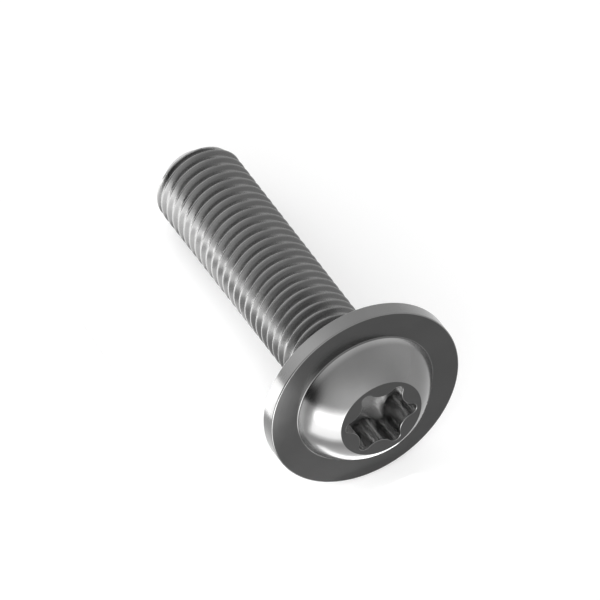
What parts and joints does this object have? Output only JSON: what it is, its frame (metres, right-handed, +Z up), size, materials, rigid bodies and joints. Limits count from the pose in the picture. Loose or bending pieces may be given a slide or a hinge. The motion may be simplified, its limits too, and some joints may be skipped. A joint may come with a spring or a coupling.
{
  "type": "flanged button-head screw",
  "caption": "Flanged button-head machine screw with a six-lobe socket and a fine right-hand thread along the whole shank, lying at rest.",
  "frame": {"origin": "middle of the lying screw's bounding box, on the surface that it lies on", "axes": "+X from the head towards the thread end, +Z up; the screw's axis leans 9.8 degrees down towards the end"},
  "size_m": [0.035, 0.0178, 0.0178],
  "materials": {
    "steel": "smooth, bright stainless steel"
  },
  "bodies": {
    "root": {"screw": "steel"}
  },
  "joints": []
}
